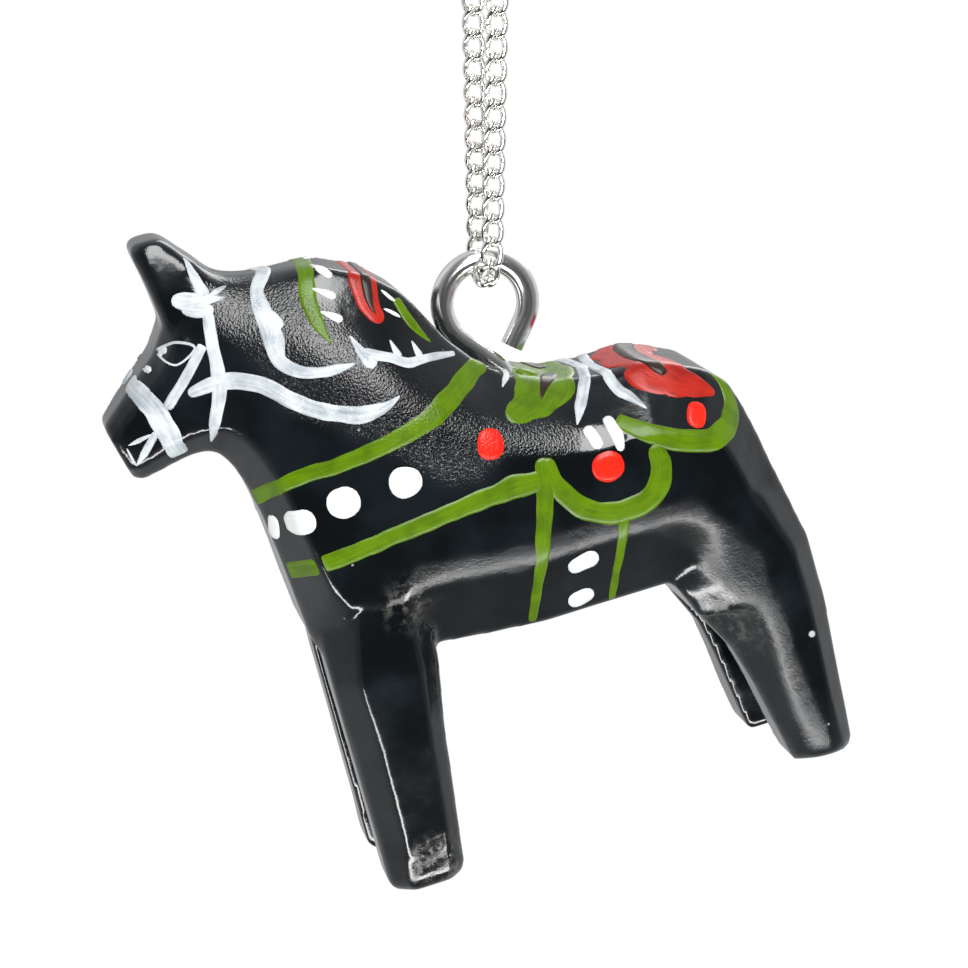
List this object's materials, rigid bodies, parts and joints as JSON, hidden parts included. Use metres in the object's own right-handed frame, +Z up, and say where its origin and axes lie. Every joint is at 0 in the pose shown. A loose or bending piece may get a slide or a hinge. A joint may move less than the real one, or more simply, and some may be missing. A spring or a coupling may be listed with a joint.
{
  "type": "painted wooden horse pendant on a chain",
  "caption": "Small carved and painted wooden horse that hangs by a screw eye from a doubled curb chain with a jump ring and a spring-ring clasp.",
  "frame": {"origin": "centre of the spring-ring clasp that the pendant hangs from, straight above the middle of the screw eye's loop", "axes": "+Z up as it hangs, +X towards the horse's tail, -Y the left flank with the full painting; the horse hangs 14 degrees nose-down"},
  "size_m": [0.0319, 0.009, 0.0486],
  "materials": {
    "black_lacquer": "thick gloss lacquer over carved softwood, with hand-painted green, red and white strokes",
    "silver": "bright polished silver plating",
    "bright_steel": "bright nickel-plated wire"
  },
  "bodies": {
    "clasp": {"clasp_ring": "silver", "clasp_eyelet": "silver", "clasp_spring": "bright_steel"},
    "bolt": {"clasp_bolt": "silver"},
    "ring": {"jump_ring": "silver"},
    "end_rings": {"front_end_ring": "silver", "back_end_ring": "silver"},
    "row_01": {"front_link_01": "silver", "back_link_01": "silver"},
    "row_02": {"front_link_02": "silver", "back_link_02": "silver"},
    "row_03": {"front_link_03": "silver", "back_link_03": "silver"},
    "row_04": {"front_link_04": "silver", "back_link_04": "silver"},
    "row_05": {"front_link_05": "silver", "back_link_05": "silver"},
    "row_06": {"front_link_06": "silver", "back_link_06": "silver"},
    "row_07": {"front_link_07": "silver", "back_link_07": "silver"},
    "row_08": {"front_link_08": "silver", "back_link_08": "silver"},
    "row_09": {"front_link_09": "silver", "back_link_09": "silver"},
    "row_10": {"front_link_10": "silver", "back_link_10": "silver"},
    "row_11": {"front_link_11": "silver", "back_link_11": "silver"},
    "row_12": {"front_link_12": "silver", "back_link_12": "silver"},
    "row_13": {"front_link_13": "silver", "back_link_13": "silver"},
    "bight": {"bight_link_front": "silver", "bight_link_under": "silver", "bight_link_back": "silver"},
    "horse": {"horse_body": "black_lacquer", "screw_eye": "bright_steel"}
  },
  "joints": [
    {"name": "bolt_slide_round", "type": "hinge", "parent": "clasp", "child": "bolt", "pos_m": [0, 0, 0], "axis": [0, -1, 0], "range_deg": [0, 72], "stiffness_Nm_per_rad": 0.001, "springref_deg": -28.65, "deforming": ["clasp_spring"]},
    {"name": "jump_ring_swivel", "type": "hinge", "parent": "clasp", "child": "ring", "pos_m": [0, 0, -0.00345], "axis": [0, 0, 1], "range_deg": [-30, 30]},
    {"name": "end_ring_swing", "type": "hinge", "parent": "ring", "child": "end_rings", "pos_m": [0, 0, -0.00605], "axis": [1, 0, 0], "range_deg": [-40, 40]},
    {"name": "row_01_swing", "type": "hinge", "parent": "end_rings", "child": "row_01", "pos_m": [0, 0, -0.00666], "axis": [-0.9524, 0.3048, 0], "range_deg": [-18, 18]},
    {"name": "row_02_swing", "type": "hinge", "parent": "row_01", "child": "row_02", "pos_m": [0, 0, -0.0076], "axis": [0.9027, -0.4303, 0], "range_deg": [-18, 18]},
    {"name": "row_03_swing", "type": "hinge", "parent": "row_02", "child": "row_03", "pos_m": [0, 0, -0.00854], "axis": [-0.8359, 0.5489, 0], "range_deg": [-18, 18]},
    {"name": "row_04_swing", "type": "hinge", "parent": "row_03", "child": "row_04", "pos_m": [0, 0, -0.00948], "axis": [0.7562, -0.6544, 0], "range_deg": [-18, 18]},
    {"name": "row_05_swing", "type": "hinge", "parent": "row_04", "child": "row_05", "pos_m": [0, 0, -0.01043], "axis": [-0.6692, 0.7431, 0], "range_deg": [-18, 18]},
    {"name": "row_06_swing", "type": "hinge", "parent": "row_05", "child": "row_06", "pos_m": [0, 0, -0.01137], "axis": [0.5806, -0.8142, 0], "range_deg": [-18, 18]},
    {"name": "row_07_swing", "type": "hinge", "parent": "row_06", "child": "row_07", "pos_m": [0, 0, -0.01231], "axis": [-0.4949, 0.869, 0], "range_deg": [-18, 18]},
    {"name": "row_08_swing", "type": "hinge", "parent": "row_07", "child": "row_08", "pos_m": [0, 0, -0.01325], "axis": [0.4149, -0.9099, 0], "range_deg": [-18, 18]},
    {"name": "row_09_swing", "type": "hinge", "parent": "row_08", "child": "row_09", "pos_m": [0, 0, -0.0142], "axis": [-0.3421, 0.9397, 0], "range_deg": [-18, 18]},
    {"name": "row_10_swing", "type": "hinge", "parent": "row_09", "child": "row_10", "pos_m": [0, 0, -0.01514], "axis": [0.2768, -0.9609, 0], "range_deg": [-18, 18]},
    {"name": "row_11_swing", "type": "hinge", "parent": "row_10", "child": "row_11", "pos_m": [0, 0, -0.01608], "axis": [-0.2187, 0.9758, 0], "range_deg": [-18, 18]},
    {"name": "row_12_swing", "type": "hinge", "parent": "row_11", "child": "row_12", "pos_m": [0, 0, -0.01702], "axis": [0.1673, -0.9859, 0], "range_deg": [-18, 18]},
    {"name": "row_13_swing", "type": "hinge", "parent": "row_12", "child": "row_13", "pos_m": [0, 0, -0.01796], "axis": [-0.1218, 0.9926, 0], "range_deg": [-18, 18]},
    {"name": "bight_swing", "type": "hinge", "parent": "row_13", "child": "bight", "pos_m": [0, 0, -0.01891], "axis": [0.0815, -0.9967, 0], "range_deg": [-18, 18]},
    {"name": "horse_pitch", "type": "hinge", "parent": "bight", "child": "horse", "pos_m": [0, 0, -0.02071], "axis": [0, 1, 0], "range_deg": [-70, 55]}
  ]
}
